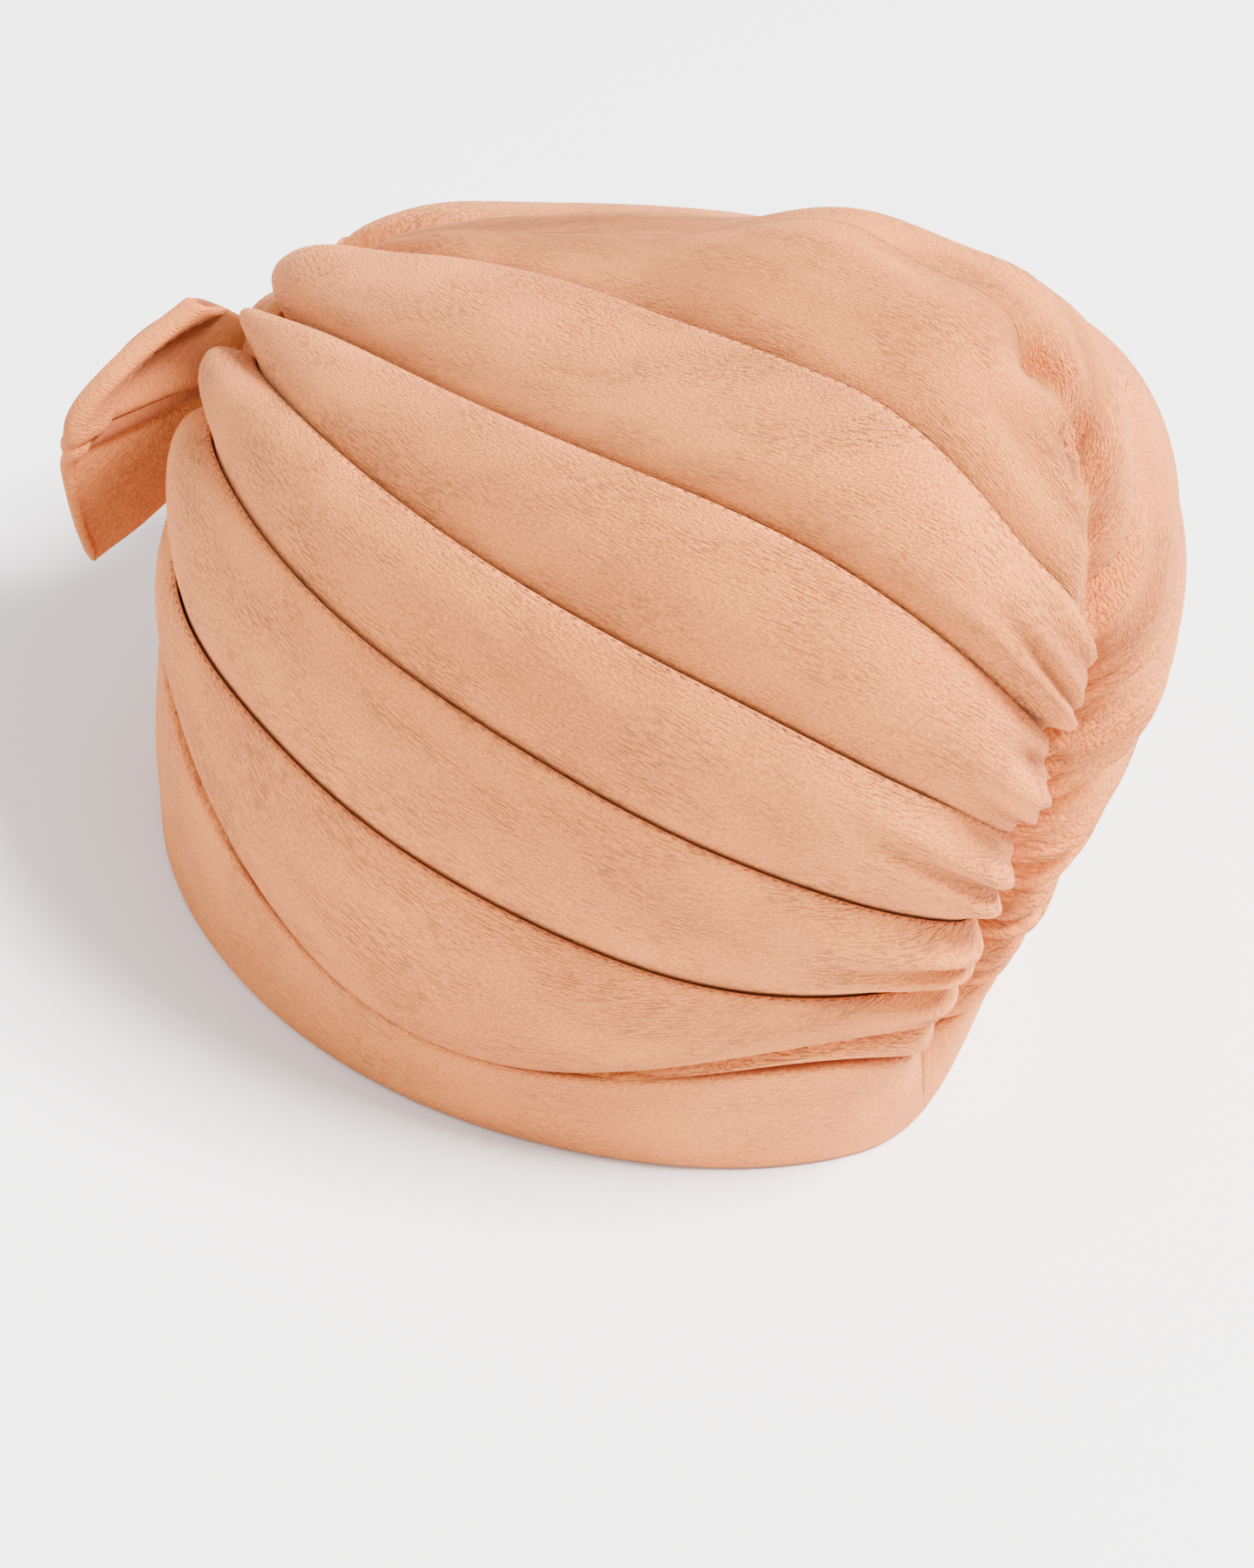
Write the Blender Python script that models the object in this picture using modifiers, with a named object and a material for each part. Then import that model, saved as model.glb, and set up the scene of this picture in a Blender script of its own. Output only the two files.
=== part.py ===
"""A pleated turban hat: two pleated side panels, a folded band, and a bow at the front.

Metres, +Z up. The wearer's face looks along -Y and the wearer's left side is +X.
The band's lower edge lies flat on Z = 0, and the origin is below the middle of the hat.
"""

import math

import bmesh
import bpy
import numpy as np

# Driving sizes of the head part
HALF_WIDTH = 0.083
HALF_LENGTH = 0.106
HEIGHT = 0.185
PANEL_WALL = 0.0022
BAND_WALL = 0.0022
BAND_PROUD = 0.0014
BAND_PUFF = 0.0012
BACK_TAPER_SHARE = 0.10
CROWN_RING = 0.18

# Relief of the cloth
TUCK_STEP = 0.0032
LOBE_HEIGHT = 0.0085
LOBE_START = 0.014
LOBE_LENGTH = 0.032
GATHER_HEIGHT = 0.0050
GATHER_LENGTH = 0.030
SEAM_DEPTH = 0.0075
SEAM_WIDTH = 0.0085

# Where the cloth's gathers begin and where they are full, as shares of the way from the knot to the seam
GATHERS_BEGIN, GATHERS_FULL = 0.55, 0.75

# The bow
KNOT_HALF_WIDTH = 0.0125
KNOT_HALF_HEIGHT = 0.0185
KNOT_DEPTH = 0.013
KNOT_SQUARENESS = 0.7
EAR_LENGTH = 0.043
EAR_HEIGHT = 0.056
EAR_WALL = 0.0024
EAR_ROOT_HEIGHT = 0.020
EAR_FOLD = 0.0075
EAR_STAND_OFF = 0.0065
EAR_ROOT_SHARE = 0.5

# Pieces that touch keep this gap, and the two panels meet in the plane X = 0
GAP = 0.0004
SEAM_GAP = 0.0003

# Mesh rows and columns
PANEL_COLUMNS = 28
PLEAT_ROWS = (0.0, 0.12, 0.40, 0.72, 0.94)
BAND_ROWS = 3
KNOT_SEGMENTS, KNOT_RINGS = 20, 12
EAR_COLUMNS, EAR_ROWS = 8, 12

# The hat's form, ring by ring from the ridge (0) to the rim (1). Reaches are shares of HALF_LENGTH at
# the front and back and of HALF_WIDTH at the side, and heights are shares of HEIGHT. The crown is rounded
# out to CROWN_RING.
# ring, front reach, front height, side reach, side height, back reach, back height
RINGS = np.array([
    (0.00, -0.41, 0.977, 0.00, 0.977, 0.41, 0.977),
    (0.14, -0.05, 0.865, 0.30, 0.880, 0.69, 0.990),
    (0.28, 0.30, 0.760, 0.57, 0.785, 0.87, 0.925),
    (0.42, 0.60, 0.660, 0.78, 0.670, 0.99, 0.810),
    (0.56, 0.82, 0.555, 0.93, 0.550, 1.05, 0.665),
    (0.70, 0.94, 0.430, 1.00, 0.410, 1.04, 0.480),
    (0.85, 0.94, 0.215, 1.01, 0.205, 0.97, 0.240),
    (1.00, 0.895, 0.000, 0.99, 0.000, 0.89, 0.000),
])

# Each pleat's upper edge, from the band up to the ridge, as it leaves the knot and reaches the back
# seam: the ring where it starts or ends, its slant there in degrees, and how far it keeps that slant.
# front ring, front slant, front pull, back ring, back slant, back pull
PLEAT_EDGES = np.array([
    (0.812, -2, 0.85, 0.925, 12, 1.56),
    (0.80, -2, 0.85, 0.880, 9, 1.56),
    (0.78, 2, 0.95, 0.830, 3, 1.06),
    (0.76, 6, 0.65, 0.790, 9, 0.93),
    (0.74, 10, 0.40, 0.725, 19, 0.81),
    (0.715, 25, 0.41, 0.635, 25, 0.47),
    (0.69, 74, 0.51, 0.500, 35, 0.29),
    (0.67, 90, 0.25, 0.210, 90, 0.20),
])
PLEATS = len(PLEAT_EDGES) - 1
KNOT_PLACE_RING = 0.735

# How far each pleat, from the band up to the ridge, puffs out beside the knot and at the back seam, as
# shares of LOBE_HEIGHT and GATHER_HEIGHT.
# front, back
PLEAT_PUFFS = np.array([
    (0.0, 0.5),
    (0.3, 0.8),
    (0.7, 0.9),
    (1.0, 1.0),
    (1.0, 1.0),
    (0.9, 1.0),
    (0.2, 0.7),
])

# The bow's ear, from its lower corner to its upper corner: how far out and how high its free edge
# lies, as shares of EAR_LENGTH and EAR_HEIGHT, and how far its folds stand forward, as shares of EAR_FOLD.
# out, up, forward
EAR_EDGE = np.array([
    (0.83, -0.72, 0.00),
    (0.92, -0.50, 0.70),
    (0.98, -0.24, -0.40),
    (0.92, -0.04, 1.00),
    (0.64, 0.13, 0.80),
    (0.25, 0.28, -0.30),
])


def smooth_table(x, stations, values):
    """Reads a table between its rows on one smooth curve through them."""
    x = np.asarray(x, float)
    slopes = np.gradient(values, stations, axis=0)
    i = np.clip(np.searchsorted(stations, x, side="right") - 1, 0, len(stations) - 2)
    step = (stations[i + 1] - stations[i])[..., None]
    t = ((x - stations[i]) / step[..., 0])[..., None]
    return (
        (1 + 2 * t) * (1 - t) ** 2 * values[i]
        + t * (1 - t) ** 2 * step * slopes[i]
        + t * t * (3 - 2 * t) * values[i + 1]
        + t * t * (t - 1) * step * slopes[i + 1]
    )


def smooth_step(x, low, high):
    """0 below low, 1 above high, and smooth between."""
    t = np.clip((x - low) / (high - low), 0, 1)
    return t * t * (3 - 2 * t)


def closer_at_ends(even):
    """Even stations from 0 to 1, drawn closer together near both ends."""
    return 0.25 * even + 0.75 * smooth_step(even, 0, 1)


def hump(x, start, length):
    """0 before start, 1 at a third of length past it, and dying away after it."""
    t = np.clip((x - start) / length, 0, None)
    return (3 * t) * np.exp(1 - 3 * t)


def form_point(chart):
    """The point of the bare form under a chart point: the chart's radius is the ring, -Y its front."""
    ring = np.hypot(chart[..., 0], chart[..., 1])
    safe = np.maximum(ring, 1e-9)
    side = chart[..., 0] / safe
    front = np.where(ring > 1e-9, -chart[..., 1] / safe, 1.0)
    reaches = smooth_table(np.clip(ring, 0, 1), RINGS[:, 0], RINGS[:, 1::2])
    rounded = np.clip(ring, 0, 1) * np.sqrt(smooth_step(ring, 0, CROWN_RING))
    heights = smooth_table(rounded, RINGS[:, 0], RINGS[:, 2::2])
    front_reach, side_reach, back_reach = np.moveaxis(reaches, -1, 0)
    front_height, side_height, back_height = np.moveaxis(heights, -1, 0)
    taper = BACK_TAPER_SHARE * ring**2 * np.clip(-front, 0, 1) ** 2
    x = HALF_WIDTH * side_reach * side * (1 - taper)
    y = HALF_LENGTH * ((back_reach - front_reach) / 2 - (back_reach + front_reach) / 2 * front)
    lift = (front_height + back_height) / 2 - side_height
    z = HEIGHT * (side_height + lift * front**2 - (back_height - front_height) / 2 * front)
    return np.stack([x, y, z], -1)


def form_normal(chart):
    """The outward direction of the bare form."""
    small = 2e-3
    inward = np.array(chart, float)
    reach = np.hypot(inward[..., 0], inward[..., 1])
    shrink = np.minimum(1.0, (1 - 2 * small) / np.maximum(reach, small))
    inward = inward * shrink[..., None]
    dx = form_point(inward + (small, 0)) - form_point(inward - (small, 0))
    dy = form_point(inward + (0, small)) - form_point(inward - (0, small))
    normal = np.cross(dx, dy)
    return normal / np.linalg.norm(normal, axis=-1, keepdims=True)


def edge_chart(along, across):
    """The chart point of a pleat line: along runs from the knot to the back seam, across from band to ridge."""
    stations = np.linspace(0, 1, PLEATS + 1)
    row = smooth_table(across, stations, PLEAT_EDGES)
    front_ring, front_slant, front_pull, back_ring, back_slant, back_pull = np.moveaxis(row, -1, 0)
    front_slant, back_slant = np.radians(front_slant), np.radians(back_slant)
    zero = np.zeros_like(front_ring)
    start = np.stack([zero, -front_ring], -1)
    end = np.stack([zero, back_ring], -1)
    leave = np.stack([np.cos(front_slant), np.sin(front_slant)], -1) * front_pull[..., None]
    arrive = np.stack([np.cos(back_slant), -np.sin(back_slant)], -1) * back_pull[..., None]
    t = np.asarray(along, float)[..., None]
    return (
        (1 - t) ** 3 * start
        + 3 * t * (1 - t) ** 2 * (start + leave)
        + 3 * t * t * (1 - t) * (end + arrive)
        + t**3 * end
    )


def cloth_relief(along, across, point):
    """How far the cloth's broad folds, and the tucks laid over them, stand out from the bare form."""
    part = across * PLEATS
    pleat = np.minimum(np.floor(part), PLEATS - 1).astype(int)
    share = part - pleat
    front_puff, back_puff = np.moveaxis(PLEAT_PUFFS[pleat], -1, 0)
    rounded_edge = np.sqrt(np.clip(1 - (np.clip(share - 0.93, 0, None) / 0.07) ** 2, 0, 1))
    tuck = np.where(pleat == PLEATS - 1, 0.5 * np.sin(math.pi / 2 * share), share**0.7 * rounded_edge)
    lobe = np.sin(math.pi * share)
    gather = np.sin(math.pi * share) ** 2
    knot = form_point(np.array([0.0, -KNOT_PLACE_RING]))
    from_knot = np.linalg.norm(point - knot, axis=-1)
    lobes = hump(from_knot, LOBE_START, LOBE_LENGTH)
    clear_of_knot = smooth_step(from_knot, LOBE_START, LOBE_START + LOBE_LENGTH)
    behind = smooth_step(along, GATHERS_BEGIN, GATHERS_FULL)
    ruched = behind * smooth_step(1 - across, 0.02, 0.20)
    gathers = ruched * hump(point[..., 0], 0, GATHER_LENGTH)
    valley = ruched * np.exp(-((point[..., 0] / SEAM_WIDTH) ** 2))
    calm = 1 - ruched * np.exp(-((point[..., 0] / GATHER_LENGTH) ** 2))
    front_folds = LOBE_HEIGHT * front_puff * lobes * lobe
    back_folds = GATHER_HEIGHT * back_puff * gathers * gather - SEAM_DEPTH * valley
    return front_folds + back_folds, TUCK_STEP * tuck * clear_of_knot * calm


def panel_point(along, across, outer, side):
    """A point of one side panel; outer is 1 on the pleated face and 0 on the lining face."""
    chart = edge_chart(along, across)
    point, normal = form_point(chart), form_normal(chart)
    folds, tucks = cloth_relief(along, across, point)
    point = point + normal * (folds + outer * tucks - (1 - outer) * PANEL_WALL)[..., None]
    point[..., 0] = side * np.maximum(point[..., 0], SEAM_GAP / 2)
    return point


def band_point(round_share, down, outer):
    """A point of the band: round_share runs once round the hat from the front, down from 0 to 1 at the rim."""
    side = np.where(round_share <= 0.5, 1.0, -1.0)
    along = 1 - np.abs(1 - 2 * round_share)
    top = edge_chart(along, np.zeros_like(along))
    rim = top / np.linalg.norm(top, axis=-1, keepdims=True)
    chart = top + (rim - top) * down[..., None]
    point, normal = form_point(chart), form_normal(chart)
    behind = smooth_step(along, GATHERS_BEGIN, GATHERS_FULL)
    seam = SEAM_DEPTH * np.exp(-((point[..., 0] / SEAM_WIDTH) ** 2)) * behind
    level = np.where(down < 0.5, -seam * (1 - 2 * down), 0.0)
    proud = BAND_PROUD + BAND_PUFF * np.sin(math.pi * down)
    point = point + normal * (level + outer * proud - (1 - outer) * BAND_WALL)[..., None]
    point[..., 2] = np.where(down > 0.999, 0.0, point[..., 2] - GAP * (1 - down))
    point[..., 0] *= side
    return point


def cloth_material(name, colour, roughness):
    material = bpy.data.materials.new(name)
    material.use_nodes = True
    shader = material.node_tree.nodes["Principled BSDF"]
    shader.inputs["Base Color"].default_value = (*colour, 1)
    shader.inputs["Roughness"].default_value = roughness
    shader.inputs["Metallic"].default_value = 0
    return material


def add_piece(name, mesh, material, collection):
    piece = bpy.data.objects.new(name, mesh)
    mesh.materials.clear()
    mesh.materials.append(material)
    mesh.shade_smooth()
    mesh.set_sharp_from_angle(angle=math.radians(50))
    collection.objects.link(piece)
    return piece


def solid_mesh(source, thickness, name):
    """The mesh of an open sheet made one unit thick by Solidify; the sheet is removed."""
    solidify = source.modifiers.new("wall", "SOLIDIFY")
    solidify.thickness = thickness
    solidify.offset = -1
    evaluated = source.evaluated_get(bpy.context.evaluated_depsgraph_get())
    mesh = bpy.data.meshes.new_from_object(evaluated)
    mesh.name = name
    bpy.data.objects.remove(source)
    return mesh


def unit_slab(columns, rows, name):
    """A slab over the unit square, with its stations evenly spaced, one unit thick."""
    bpy.ops.mesh.primitive_grid_add(x_subdivisions=columns, y_subdivisions=rows, size=1, location=(0, 0, 0))
    sheet = bpy.context.object
    for vertex in sheet.data.vertices:
        vertex.co.x += 0.5
        vertex.co.y += 0.5
    return solid_mesh(sheet, 1.0, name)


def bend(mesh, shape):
    """Moves every vertex of a mesh to where shape puts it."""
    places = np.array([vertex.co for vertex in mesh.vertices], float)
    bent = shape(places)
    mesh.vertices.foreach_set("co", bent.astype(np.float32).ravel())
    mesh.update()


def face_outward(mesh):
    """Turns the faces outward if the bending mirrored them."""
    form = bmesh.new()
    form.from_mesh(mesh)
    bmesh.ops.recalc_face_normals(form, faces=form.faces)
    if form.calc_volume(signed=True) < 0:
        bmesh.ops.reverse_faces(form, faces=form.faces)
    form.to_mesh(mesh)
    form.free()


def build_panel(name, side, material, collection):
    rows = PLEATS * len(PLEAT_ROWS)
    across_stations = np.array([
        (pleat + share) / PLEATS for pleat in range(PLEATS) for share in PLEAT_ROWS
    ] + [1.0])
    mesh = unit_slab(PANEL_COLUMNS, rows, name)

    def shape(places):
        along = closer_at_ends(places[:, 0])
        across = across_stations[np.rint(places[:, 1] * rows).astype(int)]
        outer = np.where(places[:, 2] > -0.5, 1.0, 0.0)
        return panel_point(along, across, outer, side)

    bend(mesh, shape)
    face_outward(mesh)
    return add_piece(name, mesh, material, collection)


def build_band(name, material, collection):
    segments = 2 * PANEL_COLUMNS
    bpy.ops.mesh.primitive_cylinder_add(
        vertices=segments, radius=2, depth=1, end_fill_type="NOTHING", location=(0, 0, 0)
    )
    sleeve = bpy.context.object
    form = bmesh.new()
    form.from_mesh(sleeve.data)
    upright = [edge for edge in form.edges if abs(edge.verts[0].co.z - edge.verts[1].co.z) > 0.5]
    bmesh.ops.subdivide_edges(form, edges=upright, cuts=BAND_ROWS - 1, use_grid_fill=True)
    form.to_mesh(sleeve.data)
    form.free()
    mesh = solid_mesh(sleeve, 1.0, name)

    def shape(places):
        turn = np.arctan2(places[:, 0], places[:, 1]) / (2 * math.pi) % 1
        eased = closer_at_ends(1 - np.abs(1 - 2 * turn))
        round_share = np.where(turn <= 0.5, eased / 2, 1 - eased / 2)
        outer = np.where(np.hypot(places[:, 0], places[:, 1]) > 1.5, 1.0, 0.0)
        return band_point(round_share, 0.5 - places[:, 2], outer)

    bend(mesh, shape)
    face_outward(mesh)
    return add_piece(name, mesh, material, collection)


def knot_place():
    """The knot's centre height and the plane of its flat back, just clear of the cloth behind it."""
    along, across = np.meshgrid(np.linspace(0, 0.3, 61), np.linspace(0, 1, 73))
    cloth = panel_point(along, across, 1.0, 1)
    height = form_point(np.array([0.0, -KNOT_PLACE_RING]))[2]
    under = (cloth[..., 0] < KNOT_HALF_WIDTH) & (np.abs(cloth[..., 2] - height) < KNOT_HALF_HEIGHT)
    return cloth[..., 1][under].min() - GAP, height


def knot_width(depth_share, height_share):
    """The knot's half width at a depth and a height, given as shares of its own."""
    return KNOT_HALF_WIDTH * np.clip(1 - depth_share**2 - height_share**2, 0, 1) ** (KNOT_SQUARENESS / 2)


def build_knot(name, back, height, material, collection):
    mesh = bpy.data.meshes.new(name)
    form = bmesh.new()
    bmesh.ops.create_uvsphere(form, u_segments=KNOT_SEGMENTS, v_segments=KNOT_RINGS, radius=1)
    cut = bmesh.ops.bisect_plane(
        form, geom=form.verts[:] + form.edges[:] + form.faces[:], plane_co=(0, 0, 0), plane_no=(0, 1, 0),
        clear_outer=True, dist=1e-4,
    )
    bmesh.ops.contextual_create(form, geom=[e for e in cut["geom_cut"] if isinstance(e, bmesh.types.BMEdge)])
    form.to_mesh(mesh)
    form.free()

    def shape(places):
        wrap = 1 - 0.08 * np.cos(places[:, 2] * math.pi * 3) * np.clip(-places[:, 1], 0, 1)
        return np.stack([
            np.sign(places[:, 0]) * knot_width(places[:, 1], places[:, 2]),
            back + KNOT_DEPTH * wrap * places[:, 1],
            height + KNOT_HALF_HEIGHT * places[:, 2],
        ], -1)

    bend(mesh, shape)
    face_outward(mesh)
    return add_piece(name, mesh, material, collection)


def build_ear(name, side, back, height, material, collection):
    mesh = unit_slab(EAR_COLUMNS, EAR_ROWS, name)
    stations = np.linspace(0, 1, len(EAR_EDGE))
    root_depth = EAR_ROOT_SHARE * KNOT_DEPTH

    def shape(places):
        out, up = places[:, 0], places[:, 1]
        edge = smooth_table(up, stations, EAR_EDGE)
        flare = out**0.8
        root_up = EAR_ROOT_HEIGHT * (up - 0.5)
        thick = EAR_WALL * (places[:, 2] + 0.5)
        depth = (root_depth + thick) / KNOT_DEPTH
        root_x = knot_width(depth, root_up / KNOT_HALF_HEIGHT) + GAP
        x = root_x + EAR_LENGTH * edge[:, 0] * out
        z_root = height + root_up
        z_edge = height + EAR_HEIGHT * edge[:, 1]
        z = z_root + (z_edge - z_root) * flare
        folds = EAR_FOLD * edge[:, 2] * np.sin(math.pi * np.clip(0.15 + out * 0.7, 0, 1)) * out
        y = back - root_depth - EAR_STAND_OFF * out - folds - thick
        return np.stack([side * x, y, z], -1)

    bend(mesh, shape)
    face_outward(mesh)
    return add_piece(name, mesh, material, collection)


def set_origin_below_middle(pieces):
    """Moves the finished pieces together, so that the origin is below the middle of the whole hat."""
    corners = np.array([vertex.co for piece in pieces for vertex in piece.data.vertices], float)
    middle_y = (corners[:, 1].min() + corners[:, 1].max()) / 2
    for piece in pieces:
        places = np.array([vertex.co for vertex in piece.data.vertices], float)
        places[:, 1] -= middle_y
        piece.data.vertices.foreach_set("co", places.astype(np.float32).ravel())
        piece.data.update()


def main():
    for old in list(bpy.data.objects):
        bpy.data.objects.remove(old)
    hat = bpy.data.collections.new("turban_hat")
    bpy.context.scene.collection.children.link(hat)
    crepe = cloth_material("peach_crepe", (0.72, 0.42, 0.26), 0.85)
    crepe_band = cloth_material("peach_crepe_band", (0.70, 0.41, 0.25), 0.85)
    crepe_bow = cloth_material("peach_crepe_bow", (0.71, 0.40, 0.25), 0.85)
    back, height = knot_place()
    pieces = [
        build_band("band", crepe_band, hat),
        build_panel("left_panel", 1, crepe, hat),
        build_panel("right_panel", -1, crepe, hat),
        build_knot("bow_knot", back, height, crepe_bow, hat),
        build_ear("bow_ear_left", 1, back, height, crepe_bow, hat),
        build_ear("bow_ear_right", -1, back, height, crepe_bow, hat),
    ]
    set_origin_below_middle(pieces)


main()
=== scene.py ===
# %% [markdown]
# # A pleated turban hat
# The hat is one soft shell of stretch crepe knit: two pleated sides drawn from a bow at the front to a
# gathered seam at the back, over a plain folded band. The CAD part gives its size and place, and this
# script dresses each piece with folds, seams and cloth of its own.
#
# Axes are the part's own: the face looks along -Y, the wearer's left is +X, and the rim is at Z = 0.

import math

import bpy
import numpy as np
from mathutils import Matrix, Vector


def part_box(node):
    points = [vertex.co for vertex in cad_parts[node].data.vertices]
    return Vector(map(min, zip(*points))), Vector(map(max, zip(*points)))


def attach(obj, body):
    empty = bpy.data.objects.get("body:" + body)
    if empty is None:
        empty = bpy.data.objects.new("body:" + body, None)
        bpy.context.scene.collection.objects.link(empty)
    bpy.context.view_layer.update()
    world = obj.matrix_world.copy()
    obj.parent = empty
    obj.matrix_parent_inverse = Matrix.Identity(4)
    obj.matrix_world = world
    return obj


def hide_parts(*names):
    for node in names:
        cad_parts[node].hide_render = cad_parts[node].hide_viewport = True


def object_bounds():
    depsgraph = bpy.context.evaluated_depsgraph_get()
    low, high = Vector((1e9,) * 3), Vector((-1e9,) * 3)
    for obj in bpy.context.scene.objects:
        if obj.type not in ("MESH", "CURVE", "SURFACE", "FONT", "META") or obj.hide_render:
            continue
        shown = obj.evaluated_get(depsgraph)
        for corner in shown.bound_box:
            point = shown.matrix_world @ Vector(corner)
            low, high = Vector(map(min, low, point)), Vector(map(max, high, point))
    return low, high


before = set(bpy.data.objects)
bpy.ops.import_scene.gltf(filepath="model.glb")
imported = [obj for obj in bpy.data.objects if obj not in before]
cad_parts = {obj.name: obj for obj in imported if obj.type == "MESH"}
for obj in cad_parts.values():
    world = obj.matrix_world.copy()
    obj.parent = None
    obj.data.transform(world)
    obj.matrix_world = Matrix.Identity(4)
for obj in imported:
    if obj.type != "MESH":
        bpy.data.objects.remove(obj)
cad_low, cad_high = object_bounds()
print("CAD box", [round(x, 4) for x in (*cad_low, *cad_high)])

# %% [markdown]
# ## The camera and the light
# The hat is seen from behind on the wearer's left and from above, with the picture leaning a little. A
# long lens keeps the perspective flat. The light is a studio's: a pale room all round, one wide soft
# light from above on the right, and a weaker one from the left.

# %% Camera
AZIMUTH, ELEVATION, LEAN = (math.radians(degrees) for degrees in (130, 37, 10))
CAMERA_DISTANCE = 1.2
PIXELS_PER_METRE = 5500
PICTURE_WIDTH, PICTURE_HEIGHT = 1440, 1800
RIM_CENTRE_PIXEL = (675, 1010)
SENSOR = 36

rim_points = np.array([v.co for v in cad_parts["band"].data.vertices if v.co.z < 1e-4])
rim_centre = Vector((0, (rim_points[:, 1].min() + rim_points[:, 1].max()) / 2, 0))
level_right = Vector((math.cos(AZIMUTH), math.sin(AZIMUTH), 0))
towards_camera = Vector((
    math.sin(AZIMUTH) * math.cos(ELEVATION), -math.cos(AZIMUTH) * math.cos(ELEVATION), math.sin(ELEVATION),
))
level_up = towards_camera.cross(level_right)
camera_right = level_right * math.cos(LEAN) + level_up * math.sin(LEAN)
camera_up = level_up * math.cos(LEAN) - level_right * math.sin(LEAN)
camera = bpy.data.objects.new("camera", bpy.data.cameras.new("camera"))
bpy.context.scene.collection.objects.link(camera)
offset_right = (PICTURE_WIDTH / 2 - RIM_CENTRE_PIXEL[0]) / PIXELS_PER_METRE
offset_up = (RIM_CENTRE_PIXEL[1] - PICTURE_HEIGHT / 2) / PIXELS_PER_METRE
place = rim_centre + towards_camera * CAMERA_DISTANCE + camera_right * offset_right + camera_up * offset_up
turn = Matrix((camera_right, camera_up, towards_camera)).transposed()
camera.matrix_world = Matrix.Translation(place) @ turn.to_4x4()
camera.data.sensor_width = SENSOR
camera.data.lens = PIXELS_PER_METRE * CAMERA_DISTANCE / PICTURE_HEIGHT * SENSOR
bpy.context.scene.camera = camera
print("camera at", [round(x, 3) for x in place], "lens", round(camera.data.lens, 1))

# %% Studio light and floor
def add_area_light(name, place, target, size, power, colour):
    lamp = bpy.data.lights.new(name, "AREA")
    lamp.shape = "DISK"
    lamp.size = size
    lamp.energy = power
    lamp.color = colour
    light = bpy.data.objects.new(name, lamp)
    light.location = place
    light.rotation_euler = (target - place).to_track_quat("-Z", "Y").to_euler()
    bpy.context.scene.collection.objects.link(light)
    return light


# How far the lights stand from the hat's middle, in metres
KEY_ABOVE, KEY_NEARER, KEY_RIGHT = 1.25, 0.27, 0.88
FILL_NEARER, FILL_UP, FILL_LEFT = 0.7, 0.7, 1.2
# How wide they are in metres, how strong in watts, and their colour
KEY_WIDTH, KEY_POWER, KEY_COLOUR = 0.7, 160, (1.0, 0.97, 0.94)
FILL_WIDTH, FILL_POWER, FILL_COLOUR = 1.2, 8, (0.97, 0.98, 1.0)
ROOM_COLOUR, ROOM_STRENGTH = (0.98, 0.985, 1.0, 1), 1.22

hat_middle = Vector((0, 0, (cad_low.z + cad_high.z) / 2))
key_place = hat_middle + Vector((0, 0, KEY_ABOVE)) + towards_camera * KEY_NEARER + camera_right * KEY_RIGHT
fill_place = hat_middle + towards_camera * FILL_NEARER + camera_up * FILL_UP - camera_right * FILL_LEFT
add_area_light("key_light", key_place, hat_middle, KEY_WIDTH, KEY_POWER, KEY_COLOUR)
add_area_light("fill_light", fill_place, hat_middle, FILL_WIDTH, FILL_POWER, FILL_COLOUR)
world = bpy.data.worlds.new("studio")
bpy.context.scene.world = world
world.use_nodes = True
room = world.node_tree.nodes["Background"]
room.inputs["Color"].default_value = ROOM_COLOUR
room.inputs["Strength"].default_value = ROOM_STRENGTH

# The floor lies a hair under the rim, so the two never share a plane.
FLOOR_HALF, FLOOR_DROP = 4.0, 0.0002
FLOOR_COLOUR, FLOOR_ROUGHNESS = (0.93, 0.93, 0.94, 1), 0.9
floor_mesh = bpy.data.meshes.new("floor")
corners = [(-1, -1), (1, -1), (1, 1), (-1, 1)]
floor_mesh.from_pydata([(x * FLOOR_HALF, y * FLOOR_HALF, 0) for x, y in corners], [], [(0, 1, 2, 3)])
floor = bpy.data.objects.new("floor", floor_mesh)
floor.location.z = -FLOOR_DROP
bpy.context.scene.collection.objects.link(floor)
floor_paint = bpy.data.materials.new("floor_paint")
floor_paint.use_nodes = True
floor_shader = floor_paint.node_tree.nodes["Principled BSDF"]
floor_shader.inputs["Base Color"].default_value = FLOOR_COLOUR
floor_shader.inputs["Roughness"].default_value = FLOOR_ROUGHNESS
floor_mesh.materials.append(floor_paint)
print("floor", 2 * FLOOR_HALF, "m across")

# %% [markdown]
# ## The hat's form
# Under its folds the hat is an egg, cut off by the rim and drawn up to a ridge. One table gives its
# reaches and heights ring by ring, and a second one gives each pleat's line, from the knot at the front to
# the seam at the back. Both are the CAD part's own tables, so every fold lies where its solid is. Tables
# and smooth curves were chosen over sculpting by hand, because each number has a meaning and can be set
# against the photograph.

# %% Sizes and tables of the form
HALF_WIDTH, HALF_LENGTH, HEIGHT = 0.083, 0.106, 0.185
BACK_TAPER, CROWN_RING = 0.10, 0.18
# ring, front reach, front height, side reach, side height, back reach, back height
RINGS = np.array([
    (0.00, -0.41, 0.977, 0.00, 0.977, 0.41, 0.977),
    (0.14, -0.05, 0.865, 0.30, 0.880, 0.69, 0.990),
    (0.28, 0.30, 0.760, 0.57, 0.785, 0.87, 0.925),
    (0.42, 0.60, 0.660, 0.78, 0.670, 0.99, 0.810),
    (0.56, 0.82, 0.555, 0.93, 0.550, 1.05, 0.665),
    (0.70, 0.94, 0.430, 1.00, 0.410, 1.04, 0.480),
    (0.85, 0.94, 0.215, 1.01, 0.205, 0.97, 0.240),
    (1.00, 0.895, 0.000, 0.99, 0.000, 0.89, 0.000),
])
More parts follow.
